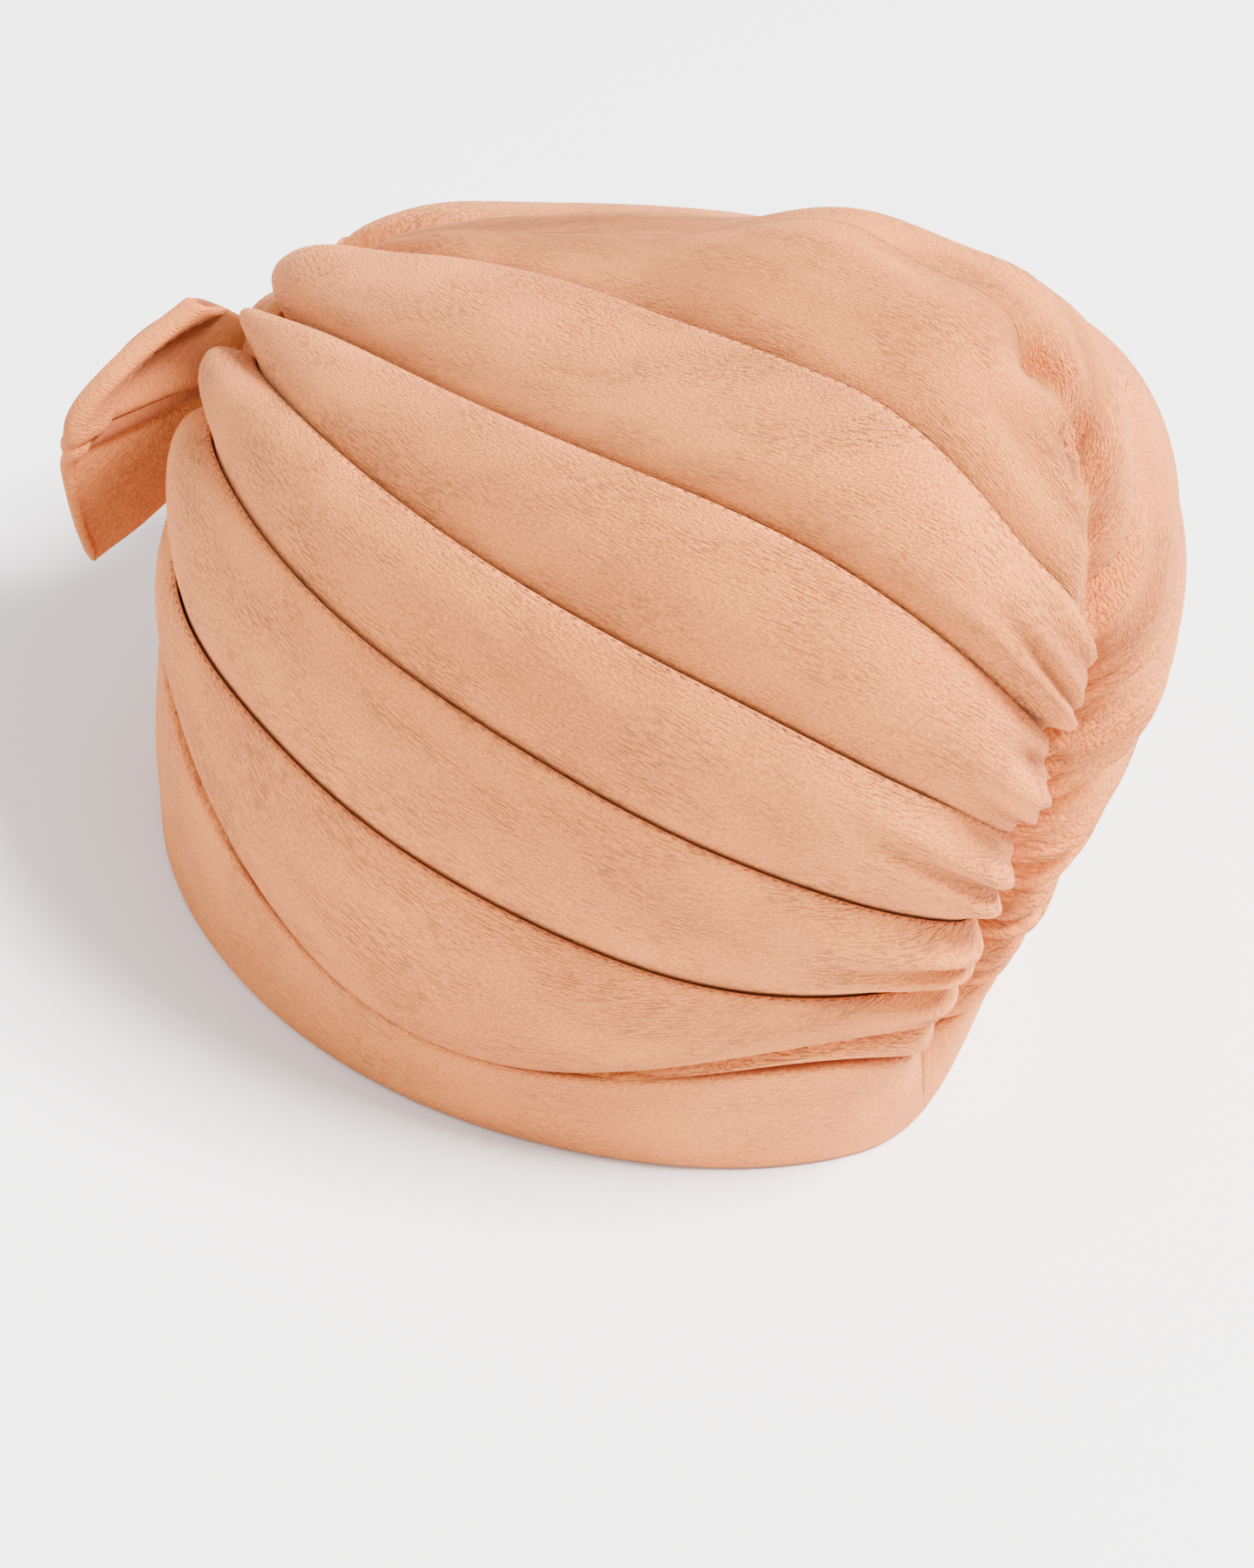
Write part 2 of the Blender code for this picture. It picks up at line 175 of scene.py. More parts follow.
# front ring, front slant, front pull, back ring, back slant, back pull, from the band up to the ridge
PLEAT_EDGES = np.array([
    (0.812, -2, 0.85, 0.925, 12, 1.56),
    (0.80, -2, 0.85, 0.880, 9, 1.56),
    (0.78, 2, 0.95, 0.830, 3, 1.06),
    (0.76, 6, 0.65, 0.790, 9, 0.93),
    (0.74, 10, 0.40, 0.725, 19, 0.81),
    (0.715, 25, 0.41, 0.635, 25, 0.47),
    (0.69, 74, 0.51, 0.500, 35, 0.29),
    (0.67, 90, 0.25, 0.210, 90, 0.20),
])
PLEATS = len(PLEAT_EDGES) - 1
KNOT_RING = 0.735
# The share of a station's place that stays even, where stations are drawn closer at both ends
EVEN_SHARE = 0.35


# %% Reading the tables
def smooth_table(x, stations, values):
    """Reads a table between its rows on one smooth curve through them."""
    x = np.asarray(x, float)
    slopes = np.gradient(values, stations, axis=0)
    i = np.clip(np.searchsorted(stations, x, side="right") - 1, 0, len(stations) - 2)
    step = (stations[i + 1] - stations[i])[..., None]
    t = ((x - stations[i]) / step[..., 0])[..., None]
    return (
        (1 + 2 * t) * (1 - t) ** 2 * values[i]
        + t * (1 - t) ** 2 * step * slopes[i]
        + t * t * (3 - 2 * t) * values[i + 1]
        + t * t * (t - 1) * step * slopes[i + 1]
    )


def smooth_step(x, low, high):
    """0 below low, 1 above high, and smooth between."""
    t = np.clip((x - low) / (high - low), 0, 1)
    return t * t * (3 - 2 * t)


def closer_at_ends(even):
    """Even stations from 0 to 1, drawn closer together at both ends, where the folds are finest."""
    return EVEN_SHARE * even + (1 - EVEN_SHARE) * smooth_step(even, 0, 1)


def hump(x, start, length):
    """0 before start, 1 at a third of length past it, and dying away after it."""
    t = np.clip((x - start) / length, 0, None)
    return (3 * t) * np.exp(1 - 3 * t)


def bell(x, width):
    """1 at 0, and dying away on both sides over about width."""
    return np.exp(-((x / width) ** 2))


def form_point(chart):
    """The point of the bare form under a chart point: the chart's radius is the ring, -Y its front."""
    ring = np.hypot(chart[..., 0], chart[..., 1])
    safe = np.maximum(ring, 1e-9)
    side = chart[..., 0] / safe
    front = np.where(ring > 1e-9, -chart[..., 1] / safe, 1.0)
    reaches = smooth_table(np.clip(ring, 0, 1), RINGS[:, 0], RINGS[:, 1::2])
    rounded = np.clip(ring, 0, 1) * np.sqrt(smooth_step(ring, 0, CROWN_RING))
    heights = smooth_table(rounded, RINGS[:, 0], RINGS[:, 2::2])
    front_reach, side_reach, back_reach = np.moveaxis(reaches, -1, 0)
    front_height, side_height, back_height = np.moveaxis(heights, -1, 0)
    taper = BACK_TAPER * ring**2 * np.clip(-front, 0, 1) ** 2
    x = HALF_WIDTH * side_reach * side * (1 - taper)
    y = HALF_LENGTH * ((back_reach - front_reach) / 2 - (back_reach + front_reach) / 2 * front)
    lift = (front_height + back_height) / 2 - side_height
    z = HEIGHT * (side_height + lift * front**2 - (back_height - front_height) / 2 * front)
    return np.stack([x, y, z], -1)


def form_normal(chart):
    """The outward direction of the bare form."""
    small = 2e-3
    inward = np.array(chart, float)
    reach = np.hypot(inward[..., 0], inward[..., 1])
    shrink = np.minimum(1.0, (1 - 2 * small) / np.maximum(reach, small))
    inward = inward * shrink[..., None]
    dx = form_point(inward + (small, 0)) - form_point(inward - (small, 0))
    dy = form_point(inward + (0, small)) - form_point(inward - (0, small))
    normal = np.cross(dx, dy)
    return normal / np.linalg.norm(normal, axis=-1, keepdims=True)


def edge_chart(along, across):
    """The chart point of a pleat line: along from the knot to the back seam, across from band to ridge."""
    stations = np.linspace(0, 1, PLEATS + 1)
    row = smooth_table(across, stations, PLEAT_EDGES)
    front_ring, front_slant, front_pull, back_ring, back_slant, back_pull = np.moveaxis(row, -1, 0)
    front_slant, back_slant = np.radians(front_slant), np.radians(back_slant)
    zero = np.zeros_like(front_ring)
    start = np.stack([zero, -front_ring], -1)
    end = np.stack([zero, back_ring], -1)
    leave = np.stack([np.cos(front_slant), np.sin(front_slant)], -1) * front_pull[..., None]
    arrive = np.stack([np.cos(back_slant), -np.sin(back_slant)], -1) * back_pull[..., None]
    t = np.asarray(along, float)[..., None]
    return (
        (1 - t) ** 3 * start
        + 3 * t * (1 - t) ** 2 * (start + leave)
        + 3 * t * t * (1 - t) * (end + arrive)
        + t**3 * end
    )


# The part's origin is below the middle of the whole hat, bow included, and the tables' is not.
bare_rim = form_point(np.array([(0.0, -1.0), (0.0, 1.0)]))
origin_shift = rim_centre.y - bare_rim[:, 1].mean()
print("tables' origin lies at Y", round(origin_shift, 4))

# %% [markdown]
# ## The crepe knit
# The cloth is a matt stretch crepe: a fine pebbled knit, with short darker slubs that run along the
# pleats. Its pattern is laid in metres along and across each piece, as the cloth was cut, so it follows
# every fold. It is a node group, because each piece uses it with values of its own. The deep creases look
# darker and redder, because light goes back and forth between the folds, and the mesh carries that as a
# value that each material reads.

# %% The knit as a node group
# How fine each pattern is to the metre: along the cloth, across it, and through it
PEBBLES, DASHES = (1100, 1900, 1100), (300, 2300, 300)
PATCHES, DASH_PATCHES = (22, 40, 22), (45, 90, 45)
# The range of each noise that is spread over 0 to 1
PEBBLE_RANGE, DASH_RANGE = (0.32, 0.68), (0.51, 0.63)
PATCH_RANGE, DASH_PATCH_RANGE = (0.35, 0.65), (0.35, 0.62)
# What the pebbles and the patches add to the tone, and what the pebbles and slubs do to the height
TONE_PEBBLES, TONE_PATCHES, HEIGHT_PEBBLES, HEIGHT_SLUBS = 0.70, 0.30, 0.8, 0.7


def build_knit_group():
    """Cloth position in metres in, and the knit's tone, its slubs and its height out."""
    group = bpy.data.node_groups.new("crepe_knit", "ShaderNodeTree")
    group.interface.new_socket("Cloth", in_out="INPUT", socket_type="NodeSocketVector")
    for name, value in (("Grain", 1.0), ("Slubs", 1.0)):
        socket = group.interface.new_socket(name, in_out="INPUT", socket_type="NodeSocketFloat")
        socket.default_value = value
    for name in ("Tone", "Slub", "Height"):
        group.interface.new_socket(name, in_out="OUTPUT", socket_type="NodeSocketFloat")
    nodes, links = group.nodes, group.links
    entry, leave = nodes.new("NodeGroupInput"), nodes.new("NodeGroupOutput")

    def noise(scale, detail, roughness=0.6):
        stretch = nodes.new("ShaderNodeMapping")
        stretch.inputs["Scale"].default_value = scale
        links.new(entry.outputs["Cloth"], stretch.inputs["Vector"])
        pattern = nodes.new("ShaderNodeTexNoise")
        pattern.inputs["Scale"].default_value = 1
        pattern.inputs["Detail"].default_value = detail
        pattern.inputs["Roughness"].default_value = roughness
        links.new(stretch.outputs["Vector"], pattern.inputs["Vector"])
        return pattern.outputs["Fac"]

    def spread(value, low, high):
        span = nodes.new("ShaderNodeMapRange")
        span.inputs["From Min"].default_value = low
        span.inputs["From Max"].default_value = high
        links.new(value, span.inputs["Value"])
        return span.outputs["Result"]

    def combine(kind, first, second):
        node = nodes.new("ShaderNodeMath")
        node.operation = kind
        for socket, value in zip(node.inputs, (first, second)):
            if isinstance(value, (int, float)):
                socket.default_value = value
            else:
                links.new(value, socket)
        return node.outputs[0]

    def scaled(value, factor):
        return combine("MULTIPLY", value, factor)

    pebble = spread(noise(PEBBLES, 2), *PEBBLE_RANGE)
    dashes = spread(noise(DASHES, 1, 0.4), *DASH_RANGE)
    patches = spread(noise(PATCHES, 2), *PATCH_RANGE)
    dash_patches = spread(noise(DASH_PATCHES, 1), *DASH_PATCH_RANGE)
    slub = scaled(scaled(dashes, dash_patches), entry.outputs["Slubs"])
    grain = scaled(pebble, entry.outputs["Grain"])
    tone = combine("ADD", scaled(grain, TONE_PEBBLES), scaled(patches, TONE_PATCHES))
    height = combine("SUBTRACT", scaled(grain, HEIGHT_PEBBLES), scaled(slub, HEIGHT_SLUBS))
    links.new(tone, leave.inputs["Tone"])
    links.new(slub, leave.inputs["Slub"])
    links.new(height, leave.inputs["Height"])
    return group


knit_group = build_knit_group()
print("node group", knit_group.name, len(knit_group.nodes), "nodes")


# %% A cloth material
SHEEN, SHEEN_ROUGHNESS, SHEEN_TINT, SHINE = 0.10, 0.55, (1.0, 0.72, 0.5, 1), 0.25
# How much a slub takes of its own colour, and how dark that is against the cloth's dark colour
SLUB_SHARE, SLUB_DARKNESS = 0.7, 0.72
ROUGHNESS_DARK, ROUGHNESS_LIGHT, RELIEF_DEPTH = 0.78, 0.95, 0.0005


def build_cloth(name, light, dark, painted_shade, grain=1.0, slubs=1.0, bump=0.85):
    """Crepe cloth: its light and dark colour, and the colour of the painted shade deep in its creases."""
    cloth = bpy.data.materials.new(name)
    cloth.use_nodes = True
    nodes, links = cloth.node_tree.nodes, cloth.node_tree.links
    shader = nodes["Principled BSDF"]
    shader.inputs["Sheen Weight"].default_value = SHEEN
    shader.inputs["Sheen Roughness"].default_value = SHEEN_ROUGHNESS
    shader.inputs["Sheen Tint"].default_value = SHEEN_TINT
    shader.inputs["Specular IOR Level"].default_value = SHINE
    cut = nodes.new("ShaderNodeUVMap")
    cut.uv_map = "cloth"
    knit = nodes.new("ShaderNodeGroup")
    knit.node_tree = knit_group
    knit.inputs["Grain"].default_value = grain
    knit.inputs["Slubs"].default_value = slubs
    links.new(cut.outputs["UV"], knit.inputs["Cloth"])

    def mix(factor, first, second):
        node = nodes.new("ShaderNodeMix")
        node.data_type = "RGBA"
        links.new(factor, node.inputs["Factor"])
        for socket, value in ((node.inputs["A"], first), (node.inputs["B"], second)):
            if isinstance(value, tuple):
                socket.default_value = (*value, 1)
            else:
                links.new(value, socket)
        return node.outputs["Result"]

    # Painted shade: the mesh's shade value mixes the dark red shade colour into creases, laps and hollows
    fold = nodes.new("ShaderNodeAttribute")
    fold.attribute_name = "painted_shade"
    slub_share = nodes.new("ShaderNodeMath")
    slub_share.operation = "MULTIPLY"
    slub_share.inputs[1].default_value = SLUB_SHARE
    links.new(knit.outputs["Slub"], slub_share.inputs[0])
    colour = mix(knit.outputs["Tone"], dark, light)
    colour = mix(slub_share.outputs[0], colour, tuple(SLUB_DARKNESS * c for c in dark))
    colour = mix(fold.outputs["Fac"], colour, painted_shade)
    links.new(colour, shader.inputs["Base Color"])
    rough = nodes.new("ShaderNodeMapRange")
    rough.inputs["To Min"].default_value = ROUGHNESS_DARK
    rough.inputs["To Max"].default_value = ROUGHNESS_LIGHT
    links.new(knit.outputs["Tone"], rough.inputs["Value"])
    links.new(rough.outputs["Result"], shader.inputs["Roughness"])
    relief = nodes.new("ShaderNodeBump")
    relief.inputs["Strength"].default_value = bump
    relief.inputs["Distance"].default_value = RELIEF_DEPTH
    links.new(knit.outputs["Height"], relief.inputs["Height"])
    links.new(relief.outputs["Normal"], shader.inputs["Normal"])
    return cloth


PANEL_LIGHT, PANEL_DARK = (0.92, 0.302, 0.066), (0.50, 0.136, 0.031)
BAND_LIGHT, BAND_DARK = (0.92, 0.310, 0.070), (0.54, 0.150, 0.035)
BOW_LIGHT, BOW_DARK = (0.74, 0.240, 0.055), (0.48, 0.138, 0.034)
# The colour of the painted shade in creases and hollows, and the thread's own colour and roughness
PAINTED_SHADE_COLOUR, THREAD_COLOUR, THREAD_ROUGHNESS = (0.22, 0.042, 0.018), (0.30, 0.085, 0.040, 1), 0.6
panel_cloth = build_cloth("panel_crepe", PANEL_LIGHT, PANEL_DARK, PAINTED_SHADE_COLOUR)
band_cloth = build_cloth("band_crepe", BAND_LIGHT, BAND_DARK, PAINTED_SHADE_COLOUR, slubs=0.7)
bow_cloth = build_cloth("bow_crepe", BOW_LIGHT, BOW_DARK, PAINTED_SHADE_COLOUR, grain=0.8, slubs=0.5)
thread = bpy.data.materials.new("sewing_thread")
thread.use_nodes = True
thread_shader = thread.node_tree.nodes["Principled BSDF"]
thread_shader.inputs["Base Color"].default_value = THREAD_COLOUR
thread_shader.inputs["Roughness"].default_value = THREAD_ROUGHNESS
print("cloths", [m.name for m in (panel_cloth, band_cloth, bow_cloth)])

# %% [markdown]
# ## Meshes from grids
# Every cloth piece is a closed shell: a grid of points for its outer face, one for its inner face, and
# the two joined along their borders. A grid carries the cloth's own coordinates and its painted shade
# along, and a closed shell keeps a real thickness at every edge that shows.

# %% A closed shell from two grids
def shell_faces(rows, columns, wrap):
    """Quads of an outer and an inner grid, and of the border between them.

    wrap joins the last column to the first.
    """
    outer = np.arange(rows * columns).reshape(rows, columns)
    inner = outer + rows * columns
    if wrap:
        outer = np.hstack([outer, outer[:, :1]])
        inner = np.hstack([inner, inner[:, :1]])

    def quads(grid):
        return np.stack([grid[:-1, :-1], grid[:-1, 1:], grid[1:, 1:], grid[1:, :-1]], -1).reshape(-1, 4)

    def strip(first, second):
        return np.stack([first[:-1], second[:-1], second[1:], first[1:]], -1)

    borders = [strip(outer[0], inner[0]), strip(outer[-1], inner[-1])[:, ::-1]]
    faces = [quads(outer), quads(inner)[:, ::-1], *borders]
    if not wrap:
        faces += [strip(outer[:, 0], inner[:, 0])[:, ::-1], strip(outer[:, -1], inner[:, -1])]
    return np.concatenate(faces)


def add_shell(name, outer, inner, cloth_place, painted_shade, material, mirrored=False, wrap=False):
    """A closed piece of cloth. cloth_place is each point's place on the flat cloth, in metres."""
    rows, columns = outer.shape[:2]
    faces = shell_faces(rows, columns, wrap)
    if mirrored:
        faces = faces[:, ::-1]
    points = np.concatenate([outer.reshape(-1, 3), inner.reshape(-1, 3)])
    mesh = bpy.data.meshes.new(name)
    mesh.from_pydata(points.tolist(), [], faces.tolist())
    corner = np.array([loop.vertex_index for loop in mesh.loops])
    flat = np.broadcast_to(cloth_place, (2, rows, columns, 2)).reshape(-1, 2)
    layer = mesh.uv_layers.new(name="cloth")
    layer.data.foreach_set("uv", flat[corner].astype(np.float32).ravel())
    # The painted shade of creases, laps and hollows, one value for each point
    shade = mesh.attributes.new("painted_shade", "FLOAT", "POINT")
    shade.data.foreach_set("value", np.concatenate([painted_shade.ravel()] * 2).astype(np.float32))
    mesh.materials.append(material)
    mesh.shade_smooth()
    mesh.update()
    piece = bpy.data.objects.new(name, mesh)
    bpy.context.scene.collection.objects.link(piece)
    print(name, len(faces) * 2, "triangles")
    return piece


def grid_normals(grid):
    """The direction square to the cloth at each point of a grid."""
    normal = np.cross(np.gradient(grid, axis=1), np.gradient(grid, axis=0))
    return normal / np.maximum(np.linalg.norm(normal, axis=-1, keepdims=True), 1e-12)


# Low on its right back the worn cloth sinks in: how far, the direction of that corner, how far out
# towards it the sinking sets in and is full, and from which height to which it dies away
SLACK = 0.010
SLACK_RIGHT, SLACK_BACK = 0.713, 0.687
SLACK_OUT, SLACK_HEIGHTS = (0.052, 0.098), (0.03, 0.14)
# Where each piece lies on the cloth's pattern, in metres across it, so that no two kinds show the same
RIGHT_PLACE, BAND_PLACE, KNOT_PLACE, EAR_PLACE = 0.5, 1.2, 1.6, 2.0


def to_part(points):
    """From the tables' origin to the part's, with the slack of the worn cloth."""
    out = SLACK_BACK * points[..., 1] - SLACK_RIGHT * points[..., 0]
    slack = SLACK * smooth_step(out, *SLACK_OUT) * (1 - smooth_step(points[..., 2], *SLACK_HEIGHTS))
    return points + np.stack([SLACK_RIGHT * slack, origin_shift - SLACK_BACK * slack, 0 * slack], -1)


# %% [markdown]
# ## The pleated sides
# Each side is one panel with seven folds pressed into it. Every fold's upper edge laps over the next
# fold, so there is a soft round edge, a thin dark line, and then the next fold rising out of it. At the
# front the folds puff into round lobes beside the bow, and at the back they are gathered into the seam.
# A table gives the section through one fold, and it is repeated up the panel at each fold's own width, so
# the laps are real cloth and cast real shadows. On the right side the laps fade into soft waves towards
# the back, its top folds first, and at the top of the seam the left side's cloth stands over it.

# %% The section through one fold
PANEL_WALL = 0.0018
FOLD_STEP = 0.0026
# Where each fold comes out from under the one below it: millimetres from that one's edge, height as a
# share of FOLD_STEP, painted shade under the lap
FOLD_START = np.array([
    (-4.0, 0.22, 1.0),
    (-2.0, 0.30, 1.0),
    (-0.6, 0.40, 0.8),
    (0.2, 0.46, 0.35),
    (0.9, 0.50, 0.10),
])
# How its upper edge turns over and back under itself, in the same columns
FOLD_END = np.array([
    (-2.3, 1.01, 0.0),
    (-1.5, 1.02, 0.0),
    (-0.9, 0.99, 0.0),
    (-0.4, 0.91, 0.0),
    (-0.1, 0.77, 0.10),
    (-0.2, 0.66, 0.4),
    (-0.7, 0.58, 0.8),
    (-2.0, 0.50, 1.0),
    (-4.0, 0.45, 1.0),
])
# The face between the two: the shares where it begins and ends, its millimetres past those, its height.
# The topmost fold has no lap above it, so its face runs on to the ridge with values of its own.
FACE_BEGIN, FACE_END = 0.07, 0.93
FACE_PAST, FACE_PAST_FALL, TOP_PAST_FALL = 1.6, 4.0, 1.6
FACE_HEIGHT, FACE_RISE, TOP_HEIGHT, TOP_RISE = 0.53, 0.48, 0.54, 0.10
# A fold narrower than this has its laps narrowed in proportion
SECTION_WIDTH = 0.012
FACE_ROWS, TOP_ROWS, PANEL_COLUMNS = 15, 18, 220
FOLD_ROWS = len(FOLD_START) + FACE_ROWS + len(FOLD_END)
FOLD_LINE_ROWS = [fold * FOLD_ROWS + len(FOLD_START) + FACE_ROWS + 3 for fold in range(1, PLEATS - 1)]
PUFF, SWAY = 0.0022, 0.0008
# The right side's fading laps: where along the panel that begins, with its top folds apart, over how
# much of the length, the share of a lap that goes, and the height that the cloth settles to
CALM_FROM, CALM_FROM_TOP, CALM_LENGTH = 0.55, 0.24, 0.3
CALM_SHARE, CALM_SHARE_TOP, CALM_HEIGHT = 0.88, 0.98, 0.64
CALM_TOP_FOLDS = PLEATS - 1.5
# The share of a step that stays beside the knot, the share that goes in the gathers, and a crease's shade
STEP_AT_KNOT, STEP_GATHERED, CREASE_SHADE = 0.25, 0.6, 0.6
# How far apart the folds lie on the cloth's pattern
FOLD_PITCH = 0.05

# How far each fold, from the band up, puffs out beside the knot and at the back, and its gathers there
# front puff, back puff, gathers
FOLD_PUFFS = np.array([
    (0.0, 0.5, 1),
    (0.3, 0.8, 2),
    (0.6, 0.9, 2),
    (0.75, 1.0, 2),
    (0.75, 1.0, 3),
    (1.1, 1.0, 2),
    (0.4, 0.5, 1),
])
LOBE_HEIGHT, LOBE_START, LOBE_LENGTH = 0.0085, 0.014, 0.036
FRONT_VALLEY, FRONT_VALLEY_WIDTH = 0.0030, 0.003
# The share of that valley at each fold's line beside the knot, from the band's up to the ridge's
LINE_VALLEYS = (0.0, 0.15, 0.5, 0.9, 1.1, 1.1, 0.6, 0.0)
GATHER_HEIGHT, GATHER_LENGTH = 0.0050, 0.030
SEAM_DEPTH, SEAM_WIDTH = 0.0075, 0.0085
# Masks: along a panel where its gathers set in, across it where they die away below the ridge and where
# the high end of the seam begins, and beside the seam where the cloth is free of it
BEHIND, BELOW_RIDGE, HIGH_SEAM, OFF_SEAM = (0.55, 0.75), (0.02, 0.20), (0.68, 0.86), (0, 0.006)
# How much of the seam's valley goes at its high end, in depth and in width
HIGH_SHALLOWER, HIGH_NARROWER = 0.45, 0.5
# The left side's cloth stands over the right side's along the top of the seam, from a small pit down
PIT_DEPTH, PIT_WIDTH, UNDER_DEPTH, UNDER_WIDTH = 0.0055, 0.0045, 0.0052, 0.0085
# Where the right side sinks under: along the panel, across it, how far beside the seam it is deepest, and
# how fast it rises again past that, against how fast it fell
UNDER_ALONG, UNDER_ACROSS, UNDER_ASIDE, UNDER_SPREAD = (0.86, 0.97), (0.50, 0.72), 0.003, 0.6
# The share of that depth at the seam itself, and from how far beside it the whole depth is there. Much
# more at the seam opens a slit, where the right side's outer face drops below the left side's inner one.
UNDER_SEAM, UNDER_SEAM_WIDTH = 0.30, 0.004

# The creases that run out from the seam along the folds
# fold, its share of the fold at the seam and at the far end, length, depth, half width in millimetres
CREASES = np.array([
    (1, 0.36, 0.50, 42, 2.2, 2.2),
    (1, 0.70, 0.82, 24, 1.9, 1.5),
    (2, 0.24, 0.18, 26, 1.7, 1.5),
    (2, 0.56, 0.44, 58, 3.5, 2.2),
    (2, 0.84, 0.80, 18, 1.7, 1.3),
    (3, 0.20, 0.12, 22, 2.0, 1.5),
    (3, 0.44, 0.66, 62, 3.6, 2.3),
    (3, 0.74, 0.88, 24, 2.1, 1.6),
    (4, 0.14, 0.26, 42, 3.7, 2.1),
    (4, 0.38, 0.54, 24, 2.4, 1.7),
    (4, 0.60, 0.70, 32, 2.4, 2.0),
    (4, 0.86, 0.74, 34, 5.6, 2.5),
    (5, 0.10, 0.02, 28, 3.8, 2.0),
    (5, 0.30, 0.52, 42, 3.2, 2.2),
    (5, 0.66, 0.84, 34, 2.6, 2.3),
    (5, 0.50, 0.95, 60, 1.8, 4.0),
    (6, 0.30, 0.22, 30, 1.6, 2.6),
    (6, 0.62, 0.50, 20, 6.0, 1.8),
    (6, 0.52, 0.30, 62, 1.8, 4.5),
])


# %% The relief of the broad folds
def pillow(share, power):
    """A round ridge between two sharp valleys, over shares 0 to 1."""
    return 1 - np.abs(2 * share - 1) ** power


def wander(first, second, seed):
    """A slow, smooth wandering between -1 and 1 that never repeats over the piece."""
    total = 0
    for wave in range(4):
        turn_a, turn_b = math.sin(seed * 7.1 + wave * 2.3), math.cos(seed * 3.7 + wave * 5.1)
        phase = first * (1.3 + wave * 1.1) * (1 + 0.3 * turn_a) + second * (2.1 + wave) * turn_b
        total = total + np.sin(phase + seed + wave * 1.9)
    return total / 4


def creases_at(fold, share, width, to_seam, seed):
    """How deep the creases press in at each point, and how much of a point is in one, for its painted
    shade.
    """
    depth, shade = 0, 0
    for number, (row_fold, near, far, length, deep, half_width) in enumerate(CREASES):
        jitter = 0.07 * math.sin(seed * 5.3 + number * 2.1)
        t = np.clip(to_seam / (length / 1000 * (1 + 3 * jitter)), 0, 1)
        bent = near + (far - near + jitter) * t
        q = (share - bent) * width / (half_width / 1000 * (0.55 + 0.75 * t))
        reach = smooth_step(to_seam, 0.0, 0.006) * (1 - t) ** 0.8 * (fold == row_fold)
        depth = depth + deep / 1000 * reach * (np.exp(-(q**2)) - 0.5 * np.exp(-((np.abs(q) - 1.9) ** 2)))
        shade = shade + reach * np.exp(-((q / 0.7) ** 2))
    return depth, np.clip(shade, 0, 1)


def broad_folds(along, across, point, width, to_seam, side, seed):
    """How far the lobes, gathers and creases stand out.

    With it come three masks: away from the knot, gathered near the seam, and in a crease, for painted
    shade.
    """
    part = across * PLEATS
    fold = np.clip(np.floor(part), 0, PLEATS - 1).astype(int)
    share = part - fold
    front_puff, back_puff, gathers = np.moveaxis(FOLD_PUFFS[fold], -1, 0)
    knot = form_point(np.array([0.0, -KNOT_RING]))
    from_knot = np.linalg.norm(point - knot, axis=-1)
    lobes = LOBE_HEIGHT * front_puff * hump(from_knot, LOBE_START, LOBE_LENGTH) * pillow(share, 2.6)
    to_line = np.minimum(share, 1 - share) * width
    line_valley = np.interp(part, range(PLEATS + 1), LINE_VALLEYS)
    beside_knot = hump(from_knot, 0.4 * LOBE_START, 1.6 * LOBE_LENGTH) * line_valley
    lobes = lobes - FRONT_VALLEY * beside_knot * bell(to_line, FRONT_VALLEY_WIDTH)
    behind = smooth_step(along, *BEHIND)
    ruched = behind * smooth_step(1 - across, *BELOW_RIDGE)
    aside = np.abs(point[..., 0])
    off_seam = smooth_step(aside, *OFF_SEAM)
    warp = 0.12 * wander(along * 9, across * 40, seed) * off_seam
    ridge = pillow(np.mod(share * gathers + warp, 1), 2.0) * np.clip(8 * np.minimum(share, 1 - share), 0, 1)
    whole = pillow(share, 2.4)
    near, close = hump(aside, 0, GATHER_LENGTH), hump(aside, 0, 0.55 * GATHER_LENGTH)
    gather = GATHER_HEIGHT * back_puff * (0.65 * near * whole + 0.45 * close * ridge)
    high = smooth_step(across, *HIGH_SEAM)
    valley_width = SEAM_WIDTH * (1 - HIGH_NARROWER * high)
    valley = SEAM_DEPTH * (1 - HIGH_SHALLOWER * high) * bell(aside, valley_width)
    pit = form_point(edge_chart(np.array([1.0]), np.array([1.0])))[0]
    sunk = PIT_DEPTH * bell(np.linalg.norm(point - pit, axis=-1), PIT_WIDTH)
    if side < 0:
        below_pit = smooth_step(along, *UNDER_ALONG) * smooth_step(across, *UNDER_ACROSS)
        meeting = UNDER_SEAM + (1 - UNDER_SEAM) * smooth_step(aside, 0, UNDER_SEAM_WIDTH)
        from_deepest = np.maximum(UNDER_ASIDE - aside, UNDER_SPREAD * (aside - UNDER_ASIDE))
        under = bell(from_deepest, UNDER_WIDTH)
        sunk = sunk + UNDER_DEPTH * below_pit * meeting * under
    away = smooth_step(from_knot, LOBE_START, LOBE_START + LOBE_LENGTH)
    sway = (SWAY * wander(along * 6, across * 8, seed + 2) + PUFF * pillow(share, 2.0)) * away * off_seam
    depth, creased = creases_at(fold, share, width, to_seam, seed)
    if side < 0:
        depth = depth * np.clip(9 * np.minimum(share, 1 - share), 0, 1)
    broad = lobes + ruched * (gather - valley) + sway - depth * behind - sunk
    return broad, away, ruched * bell(aside, GATHER_LENGTH), creased


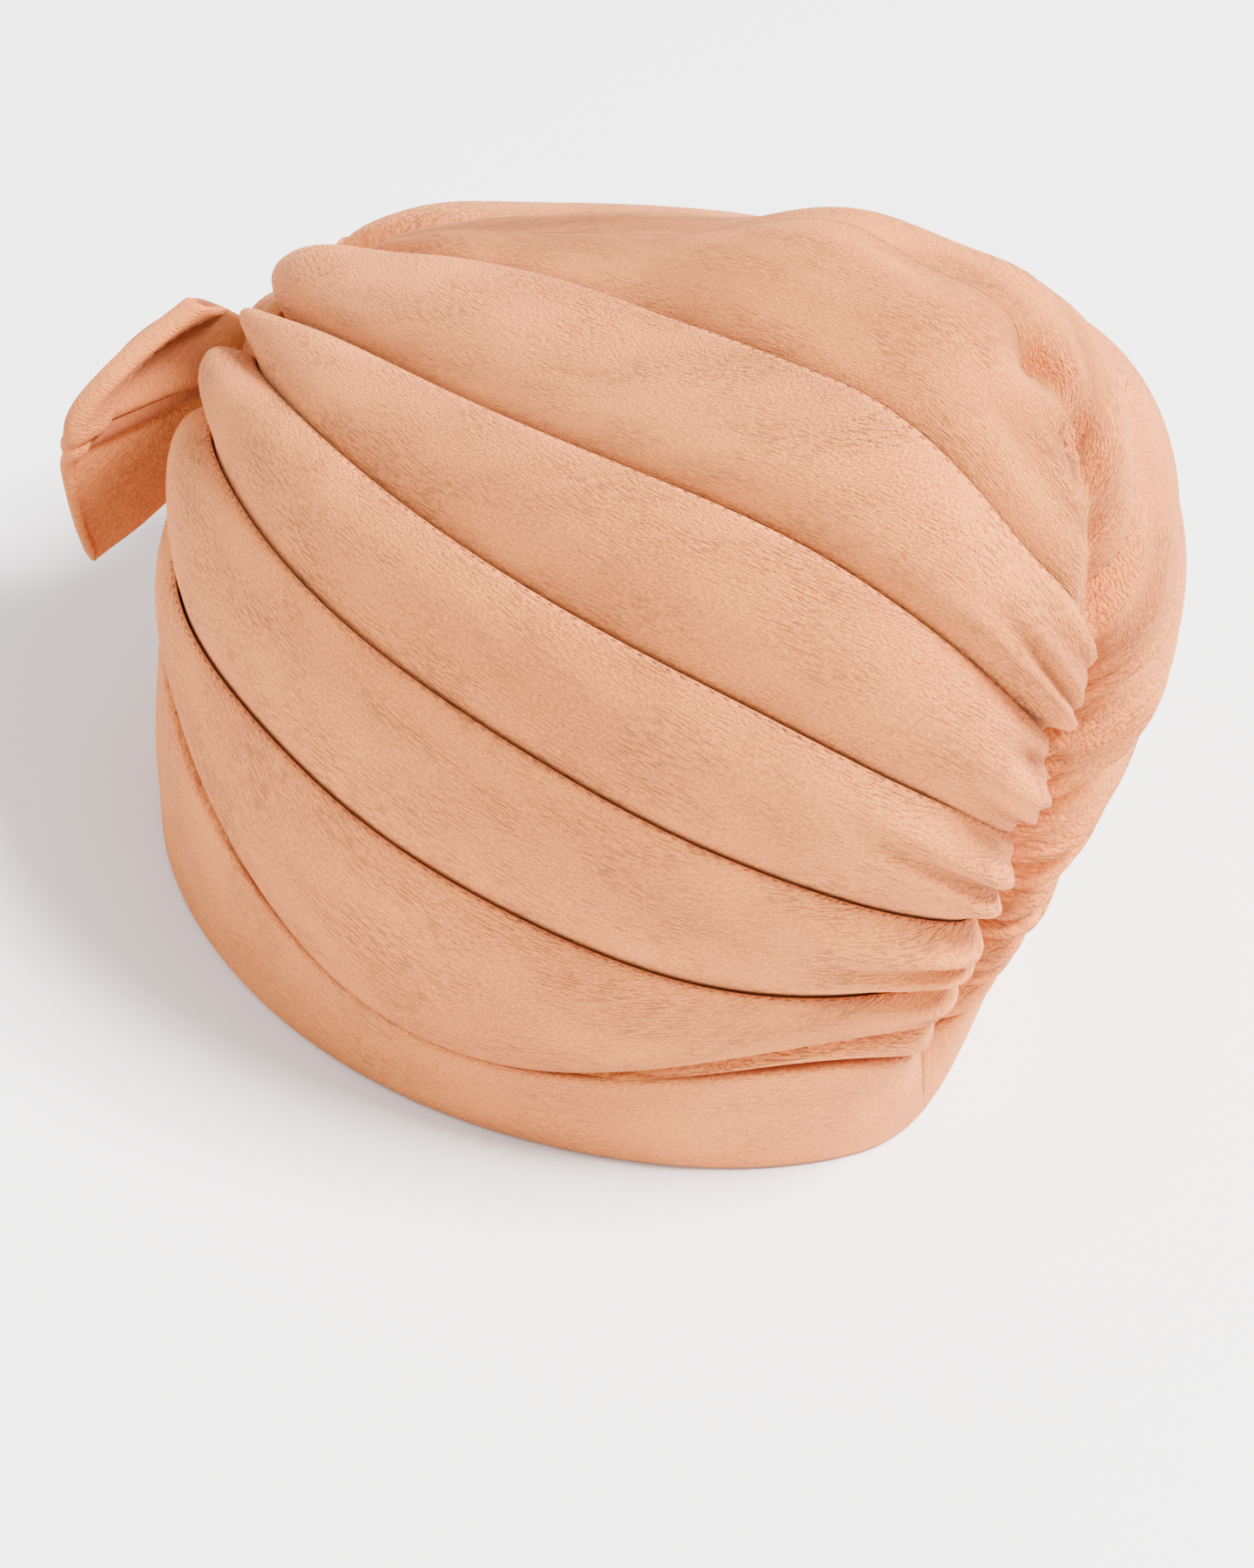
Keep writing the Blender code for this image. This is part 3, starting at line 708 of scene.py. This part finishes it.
# %% One side panel
def panel_stations():
    """Each row's fold, share of it, millimetres past that, height and painted shade, from band to ridge."""
    rows = []
    for fold in range(PLEATS):
        rows += [(fold, 0.0, *row) for row in FOLD_START]
        if fold == PLEATS - 1:
            for share in np.linspace(FACE_BEGIN, 1.0, TOP_ROWS):
                height = TOP_HEIGHT + TOP_RISE * math.sin(share * math.pi / 2)
                rows.append((fold, share, FACE_PAST - TOP_PAST_FALL * share, height, 0.0))
        else:
            for share in np.linspace(FACE_BEGIN, FACE_END, FACE_ROWS):
                height = FACE_HEIGHT + FACE_RISE * share
                rows.append((fold, share, FACE_PAST - FACE_PAST_FALL * share, height, 0.0))
            rows += [(fold, 1.0, *row) for row in FOLD_END]
    return np.array(rows).T


def build_panel(name, side, seed):
    """One pleated side, left for side 1 and right for side -1, and the points of its outer face."""
    fold, share, past, height, painted_shade = panel_stations()
    along = closer_at_ends(np.linspace(0, 1, PANEL_COLUMNS))
    ahead = np.broadcast_to(along, (len(fold), len(along)))
    charts = [edge_chart(along, np.full_like(along, k / PLEATS)) for k in range(PLEATS + 1)]
    lines = np.array([form_point(chart) for chart in charts])
    widths = np.linalg.norm(np.diff(lines, axis=0), axis=-1)
    lengths = np.linalg.norm(np.diff(lines, axis=1), axis=-1).cumsum(axis=1)
    lengths = np.hstack([np.zeros((PLEATS + 1, 1)), lengths])
    row_fold = fold.astype(int)
    width = np.maximum(widths[row_fold], 1e-4)
    to_seam = (lengths[:, -1:] - lengths)[row_fold]
    fit = np.clip(width / SECTION_WIDTH, 0.05, 1)
    top_folds = fold[:, None] + share[:, None] > CALM_TOP_FOLDS
    calm_from = np.where(top_folds, CALM_FROM_TOP, CALM_FROM) + 0 * width
    calm_share = np.where(top_folds, CALM_SHARE_TOP, CALM_SHARE)
    calm = smooth_step(ahead, calm_from, calm_from + CALM_LENGTH) * calm_share * (side < 0)
    part = fold[:, None] + share[:, None] + past[:, None] / 1000 * fit / width * (1 - calm)

    def lay(part, steps):
        """The cloth's points where part says, with steps added to the broad folds."""
        inside = (fold[:, None] + np.clip(part - fold[:, None], 0.001, 0.999)) / PLEATS
        chart = edge_chart(ahead, np.clip(part / PLEATS, 0, 1))
        point, normal = form_point(chart), form_normal(chart)
        broad, away, gathered, creased = broad_folds(ahead, inside, point, width, to_seam, side, seed)
        lift = steps(away, gathered)
        laid = point + normal * (broad + lift)[..., None]
        laid[..., 0] = side * np.maximum(laid[..., 0], 0)
        across_cloth = FOLD_PITCH * fold[:, None] + (part - fold[:, None]) * width
        place = np.stack([lengths[row_fold], across_cloth], -1)
        place[..., 1] += RIGHT_PLACE if side < 0 else 0
        return laid, place, away, creased

    shown = np.where(fold[:, None] == 0, smooth_step(width, 0.004, 0.012), 1)
    rise = FOLD_STEP * shown * (height[:, None] * (1 - calm) + CALM_HEIGHT * calm)

    def outer_steps(away, gathered):
        return rise * (STEP_AT_KNOT + (1 - STEP_AT_KNOT) * away * (1 - STEP_GATHERED * gathered))

    def inner_steps(away, gathered):
        return -PANEL_WALL - 0 * away

    outer, outer_place, away, creased = lay(part, outer_steps)
    inner, inner_place, _, _ = lay(np.sort(part, axis=0), inner_steps)
    # Painted shade: darker under each lap, less beside the knot, none where the laps fade, and in the
    # seam's creases
    lap_shade = painted_shade[:, None] * (0.5 + 0.5 * away) * (1 - calm) * shown
    shade = np.clip(lap_shade + CREASE_SHADE * creased, 0, 1)
    cloth_place = np.stack([outer_place, inner_place])
    face = to_part(outer)
    piece = add_shell(name, face, to_part(inner), cloth_place, shade, panel_cloth, mirrored=side > 0)
    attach(piece, "root")
    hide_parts(name.replace("_pleats", ""))
    return piece, face


left_pleats = build_panel("left_panel_pleats", 1, 1.0)
right_pleats = build_panel("right_panel_pleats", -1, 4.0)

# %% [markdown]
# ## The band
# The band is a strip of the same cloth folded double round the head. Its lower edge is a soft roll that
# stands flat on whatever the hat rests on, and its upper edge goes under the pleats. The section is a
# closed loop that is carried round the head, because a folded strip has no cut edge to show.

# %% The folded band
BAND_WALL, BAND_PROUD, BAND_PUFF = 0.0022, 0.0014, 0.0012
BAND_COLUMNS, BAND_ROWS = 360, 26
EDGE_ROUND, BAND_HEIGHT, BAND_LAP = 0.0014, 0.030, 0.0012
# How far the cloth wanders, how far its upper edge sinks, and how far down the shade of the pleats reaches
BAND_WAVE, BAND_SINK, BAND_SHADE = 0.0005, 0.0004, 0.012


def build_band():
    """The band once round the head, from the back seam over the left side to the front and back."""
    even = np.arange(BAND_COLUMNS) / BAND_COLUMNS
    turn = np.abs(1 - 2 * even)
    side = np.where(even <= 0.5, 1.0, -1.0)
    along = closer_at_ends(turn)
    top = edge_chart(along, np.zeros_like(along))
    rim = top / np.linalg.norm(top, axis=-1, keepdims=True)
    down = np.linspace(0, 1, BAND_ROWS)[:, None]
    down = 0.5 - 0.5 * np.cos(math.pi * down)
    chart = top[None] + (rim - top)[None] * down[..., None]
    point, normal = form_point(chart), form_normal(chart)
    behind = smooth_step(along, *BEHIND)[None]
    seam = SEAM_DEPTH * bell(point[..., 0], SEAM_WIDTH) * behind
    level = np.where(down < 0.5, -seam * (1 - 2 * down), 0.0)
    bulge = np.sin(math.pi * down)
    wave = BAND_WAVE * wander(even[None] * 40, down * 3, 9.0) * bulge
    proud = BAND_PROUD + BAND_LAP * (1 - smooth_step(down, 0, 0.5)) + BAND_PUFF * bulge + wave
    middle = (proud - BAND_WALL) / 2
    height = point[..., 2]
    from_edge = np.minimum(height, 1.2 * down * BAND_HEIGHT)
    rounding = np.sqrt(np.clip(1 - np.clip((EDGE_ROUND - from_edge) / EDGE_ROUND, 0, 1) ** 2, 0, 1))
    half = (proud + BAND_WALL) / 2 * (0.25 + 0.75 * rounding)
    outer = point + normal * (level + middle + half)[..., None]
    inner = point + normal * (level + middle - half)[..., None]
    for face in (outer, inner):
        face[..., 0] *= side
        sunk = np.maximum(face[..., 2] - BAND_SINK * (1 - down), 0.0)
        face[..., 2] = np.where(down > 0.999, 0.0, sunk)
    around = np.linalg.norm(np.diff(outer[-1], axis=0, append=outer[-1][:1]), axis=-1).cumsum()
    around_cloth, down_cloth = np.broadcast_arrays(around, down * BAND_HEIGHT)
    cloth_place = np.stack([around_cloth, BAND_PLACE + down_cloth], -1)
    # Painted shade along the band's upper edge, under the pleats
    painted_shade = np.clip(1 - down / BAND_SHADE, 0, 1) * np.ones_like(point[..., 0])
    outer, inner = to_part(outer), to_part(inner)
    piece = add_shell("band_roll", outer, inner, cloth_place, painted_shade, band_cloth, mirrored=True, wrap=True)
    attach(piece, "root")
    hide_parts("band")
    return piece


band_roll = build_band()

# %% [markdown]
# ## The bow
# The knot is a short loop of cloth pulled tight round the middle of the bow, so it has a few upright
# folds. The two ears are stitched double cloth, cupped towards the hat, with a line of stitches just
# inside their free edge.

# %% The knot and the ears
KNOT_HALF_WIDTH, KNOT_HALF_HEIGHT, KNOT_DEPTH, KNOT_SQUARENESS = 0.0125, 0.0185, 0.013, 0.7
KNOT_ROWS, KNOT_COLUMNS, KNOT_FOLDS, KNOT_FOLD_HEIGHT = 60, 72, 3.5, 0.11
# The knot's inner face, as shares of its outer one: across, deep and up
KNOT_INNER = (0.6, 0.3, 0.9)
EAR_LENGTH, EAR_SPAN, EAR_WALL = 0.0405, 0.056, 0.0024
EAR_ROOT_HEIGHT, EAR_STAND_OFF, EAR_ROOT_DEPTH, EAR_GAP = 0.020, 0.0065, 0.5, 0.0004
# The ear's free edge from its lower corner to its upper corner, as shares of its length and its span
# out, up
EAR_EDGE = np.array([
    (0.83, -0.72),
    (0.92, -0.50),
    (0.98, -0.24),
    (0.92, -0.04),
    (0.64, 0.13),
    (0.25, 0.28),
])
# How far the ear's cloth stands towards the hat, in millimetres
# up, in its middle, at its free edge
EAR_CUP = np.array([
    (0.00, 3.5, 2.5),
    (0.14, 1.8, 1.6),
    (0.30, -0.6, 0.0),
    (0.40, -2.8, -1.0),
    (0.435, -1.0, -0.4),
    (0.47, -3.2, -1.4),
    (0.50, -1.9, -1.0),
    (0.56, -4.8, -1.8),
    (0.72, -7.0, -2.0),
    (0.88, -5.5, -1.5),
    (1.00, -2.0, -0.5),
])
# Out from its root, where the ear's cup opens, and where its middle gives way to its free edge
EAR_OPEN, EAR_EDGEWARD = (0, 0.45), (0.7, 1)
# The turned flap: its length, the share of its columns in the bend, where up the ear it sets in, where
# it narrows again and by how much, how far up the lower corner stays thin, and how far the flap sinks
EAR_FLAP, FLAP_BEND, FLAP_TURN, FLAP_TAPER, FLAP_NARROWER = 0.0115, 0.4, (0.34, 0.62), (0.86, 1), 0.45
CORNER_HEIGHT, CORNER_THIN, FLAP_DIP = (0, 0.08), 0.2, 0.0012
# The bend's radius without the flap, what the flap adds to it, and the cloth past the bend without it
EDGE_BEND, FLAP_BEND_MORE, EDGE_TURN = 0.0005, 0.0013, 0.0006
# The ear's painted shade: at the foot of the flap, and in the hollow above that
EAR_SHADE, HOLLOW_SHADE, HOLLOW, FLAP_FOOT, FOOT_HEIGHT = 0.65, 0.62, (0.44, 0.66), 0.44, 0.03
EAR_ROWS, LEAF_COLUMNS, FLAP_COLUMNS = 110, 64, 34
# The rows and the column of each line of stitches: down the leaf, and along the turned flap
EAR_SEWING = ((slice(3, 36), LEAF_COLUMNS - 8), (slice(62, 106), LEAF_COLUMNS + 22))
knot_low, knot_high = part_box("bow_knot")
knot_back, knot_height = knot_high.y, (knot_low.z + knot_high.z) / 2


def knot_width(depth_share, height_share):
    """The knot's half width at a depth and a height, given as shares of its own."""
    return KNOT_HALF_WIDTH * np.clip(1 - depth_share**2 - height_share**2, 0, 1) ** (KNOT_SQUARENESS / 2)


def build_knot():
    """The loop round the middle of the bow, with its upright folds."""
    rows, columns = KNOT_ROWS, KNOT_COLUMNS
    swing = np.linspace(0, math.pi, columns)[None]
    lift = np.linspace(-0.5 * math.pi, 0.5 * math.pi, rows)[:, None]
    across, deep = np.cos(swing) * np.cos(lift), np.sin(swing) * np.cos(lift)
    up = np.sin(lift) * np.ones_like(swing)
    wave = np.abs(np.sin(swing * KNOT_FOLDS + 0.5 * np.sin(lift * 2.2)))
    folds = 0.97 + KNOT_FOLD_HEIGHT * wave**0.7 * np.cos(lift)
    x = np.sign(across) * knot_width(deep, up) * folds
    outer = np.stack([x, knot_back - KNOT_DEPTH * deep * folds, knot_height + KNOT_HALF_HEIGHT * up], -1)
    inner = outer * 1.0
    inner[..., 0] *= KNOT_INNER[0]
    inner[..., 1] = knot_back - KNOT_INNER[1] * (knot_back - outer[..., 1])
    inner[..., 2] = knot_height + KNOT_INNER[2] * (outer[..., 2] - knot_height)
    cloth_place = np.stack([outer[..., 2], KNOT_PLACE + swing * 0.012 + 0 * lift], -1)
    # Painted shade in the valleys between the knot's upright folds
    painted_shade = np.clip(1 - 4 * wave, 0, 1) * np.ones_like(x)
    piece = add_shell("bow_knot_wrap", outer, inner, cloth_place, painted_shade * 0.6, bow_cloth, mirrored=True)
    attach(piece, "root")
    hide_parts("bow_knot")
    return piece


def ear_middle(out, up):
    """The middle of the ear's cloth: out from its root to its free edge, and up along that edge."""
    edge = smooth_table(up, np.linspace(0, 1, len(EAR_EDGE)), EAR_EDGE)
    root_up = EAR_ROOT_HEIGHT * (up - 0.5)
    root_depth = EAR_ROOT_DEPTH * KNOT_DEPTH
    root = knot_width(root_depth / KNOT_DEPTH, root_up / KNOT_HALF_HEIGHT) + EAR_GAP
    x = root + EAR_LENGTH * edge[..., 0] * out
    z_root = knot_height + root_up
    z = z_root + (knot_height + EAR_SPAN * edge[..., 1] - z_root) * out**0.8
    cup = smooth_table(up, EAR_CUP[:, 0], EAR_CUP[:, 1:]) / 1000
    opened, edgeward = smooth_step(out, *EAR_OPEN), smooth_step(out, *EAR_EDGEWARD)
    dish = cup[..., 0] * opened * (1 - edgeward) + cup[..., 1] * opened * edgeward
    y = knot_back - root_depth - EAR_STAND_OFF * out + dish
    return np.stack([x, y, z], -1)


def ear_grid(up, out_stations, turned_stations):
    """The ear's middle, and after its free edge the flap that is turned over towards the hat."""
    out, rise = np.meshgrid(out_stations, up)
    leaf = ear_middle(out, rise)
    edge = leaf[:, -1]
    outward = edge - leaf[:, -8]
    outward = outward / np.linalg.norm(outward, axis=-1, keepdims=True)
    turned = smooth_step(up, *FLAP_TURN)[:, None]
    narrower = 1 - FLAP_NARROWER * smooth_step(up, *FLAP_TAPER)[:, None]
    corner = CORNER_THIN + (1 - CORNER_THIN) * smooth_step(up, *CORNER_HEIGHT)[:, None]
    radius = (EDGE_BEND + FLAP_BEND_MORE * turned) * corner
    length = EDGE_TURN * corner + EAR_FLAP * turned * narrower
    swing = math.pi * np.clip(turned_stations / FLAP_BEND, 0, 1)[None]
    flat = np.clip((turned_stations - FLAP_BEND) / (1 - FLAP_BEND), 0, 1)[None]
    along_out = radius * np.sin(swing) - length * flat
    back = radius * (1 - np.cos(swing)) - FLAP_DIP * turned * flat**2
    flap = edge[:, None] + outward[:, None] * along_out[..., None] + np.array([0, 1, 0]) * back[..., None]
    return np.concatenate([leaf, flap[:, 1:]], axis=1)


def build_ear(name, side):
    """One ear of the bow, with the points and directions that its stitches run along."""
    up = np.linspace(0, 1, EAR_ROWS)
    out_stations, turned_stations = np.linspace(0, 1, LEAF_COLUMNS), np.linspace(0, 1, FLAP_COLUMNS)
    middle = ear_grid(up, out_stations, turned_stations)
    normal = grid_normals(middle)
    steps = np.linalg.norm(np.diff(middle, axis=1), axis=-1).cumsum(axis=1)
    across_cloth = np.hstack([np.zeros((len(up), 1)), steps])
    from_edge = across_cloth[:, -1:] - across_cloth
    lifts = np.linalg.norm(np.diff(middle, axis=0), axis=-1).cumsum(axis=0)
    up_cloth = np.vstack([np.zeros((1, middle.shape[1])), lifts])
    rim = np.minimum(from_edge, np.minimum(up_cloth, up_cloth[-1:] - up_cloth))
    rounding = np.sqrt(np.clip(1 - np.clip(1 - rim / (EAR_WALL / 2), 0, 1) ** 2, 0, 1))
    half = EAR_WALL / 2 * 0.8 * (0.15 + 0.85 * rounding)
    outer, inner = middle - normal * half[..., None], middle + normal * half[..., None]
    for face in (outer, inner):
        face[..., 0] *= side
    cloth_place = np.stack([across_cloth, EAR_PLACE + up_cloth], -1)
    # Painted shade at the foot of the turned flap and in the hollow above it, on the leaf only
    foot, hollow = bell(up - FLAP_FOOT, FOOT_HEIGHT), smooth_step(up, *HOLLOW)
    creased = np.clip(EAR_SHADE * foot + HOLLOW_SHADE * hollow, 0, 1)
    leaf_columns = np.arange(middle.shape[1]) < len(out_stations) - 4
    painted_shade = creased[:, None] * leaf_columns[None] * smooth_step(across_cloth, 0.002, 0.012)
    piece = add_shell(name + "_cloth", outer, inner, cloth_place, painted_shade, bow_cloth, mirrored=side < 0)
    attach(piece, "root")
    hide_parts(name)
    return piece, inner, normal * np.array([side, 1, 1])


bow_knot_wrap = build_knot()
ears = [build_ear("bow_ear_left", 1), build_ear("bow_ear_right", -1)]

# %% [markdown]
# ## The sewing
# The ears are stitched just inside their free edge and along the turned flap, and a fine thread catches
# the folds down along their lines, all but the lowest one. Each stitch is a small bowed length of thread
# that dips into the cloth at both ends. They are real geometry, because stitches show as separate points
# of light and shade.

# %% Stitches along a line
STITCH_RADIUS, STITCH_SIDES, STITCH_RINGS = 0.00016, 5, 5
# How high each ring of a stitch stands, as a share of its rise
STITCH_BOW = (-1.4, 0.5, 1.0, 0.5, -1.4)
# A stitch's length, the pitch from one to the next, and its rise above the cloth
EAR_STITCH, FOLD_STITCH = (0.0022, 0.0032, 0.00012), (0.0011, 0.0030, 0.00006)
# The columns of a fold's line that are sewn, short of the knot and of the seam
FOLD_SEWING = slice(12, -14)


def add_stitches(name, lines, length, pitch, rise, slot):
    """One mesh of stitches along lines, each given as its points and the cloth's outward directions."""
    verts, faces = [], []
    ring = np.arange(STITCH_SIDES) * 2 * math.pi / STITCH_SIDES
    bow = rise * np.array(STITCH_BOW)
    for points, normals in lines:
        reach = np.concatenate([[0], np.linalg.norm(np.diff(points, axis=0), axis=1).cumsum()])
        for start in np.arange(0.5 * pitch, reach[-1] - length, pitch):
            where = start + length * np.linspace(0, 1, STITCH_RINGS)
            spine = np.stack([np.interp(where, reach, points[:, k]) for k in range(3)], -1)
            out = np.stack([np.interp(where, reach, normals[:, k]) for k in range(3)], -1)
            ahead = (spine[-1] - spine[0]) / np.linalg.norm(spine[-1] - spine[0])
            aside = np.cross(ahead, out)
            spine = spine + out * bow[:, None]
            around = out[:, None] * np.cos(ring)[:, None] + aside[:, None] * np.sin(ring)[:, None]
            first = len(verts)
            verts += (spine[:, None] + STITCH_RADIUS * around).reshape(-1, 3).tolist()
            for step in range(STITCH_RINGS - 1):
                row = first + step * STITCH_SIDES
                above = row + STITCH_SIDES
                for k in range(STITCH_SIDES):
                    after = (k + 1) % STITCH_SIDES
                    faces.append((row + k, row + after, above + after, above + k))
            last = first + (STITCH_RINGS - 1) * STITCH_SIDES
            faces.append(tuple(first + k for k in reversed(range(STITCH_SIDES))))
            faces.append(tuple(last + k for k in range(STITCH_SIDES)))
    mesh = bpy.data.meshes.new(name)
    mesh.from_pydata(verts, [], faces)
    mesh.materials.append(thread)
    mesh.shade_smooth()
    stitches = bpy.data.objects.new(name, mesh)
    bpy.context.scene.collection.objects.link(stitches)
    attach(stitches, "root")
    print(name, len(faces), "faces")
    return stitches


# %% Sew the ears and the folds
for (ear, face, normal), side_name in zip(ears, ("left", "right")):
    runs = [(face[rows, column], normal[rows, column]) for rows, column in EAR_SEWING]
    add_stitches("ear_stitches_" + side_name, runs, *EAR_STITCH, "bow_cloth")
for (_, face), side_name in zip((left_pleats, right_pleats), ("left", "right")):
    normal = grid_normals(face) * (1 if side_name == "left" else -1)
    runs = [(face[row, FOLD_SEWING], normal[row, FOLD_SEWING]) for row in FOLD_LINE_ROWS]
    add_stitches("fold_stitches_" + side_name, runs, *FOLD_STITCH, "panel_cloth")

# %% [markdown]
# ## The cloth's flat sizes
# Each side, the band and the left ear say how large their cloth is when it lies flat. How the real cloth
# was cut isn't known, so each size is measured on the modelled cloth: half the area of its closed shell,
# with laps and turned edges laid flat. The right side comes out smaller than the left one, because its laps
# fade.

# %% Flat sizes
for piece in (left_pleats[0], right_pleats[0], band_roll, ears[0][0]):
    half_area = sum(polygon.area for polygon in piece.data.polygons) / 2
    print(piece.name, "cloth", round(half_area, 4), "square metres")
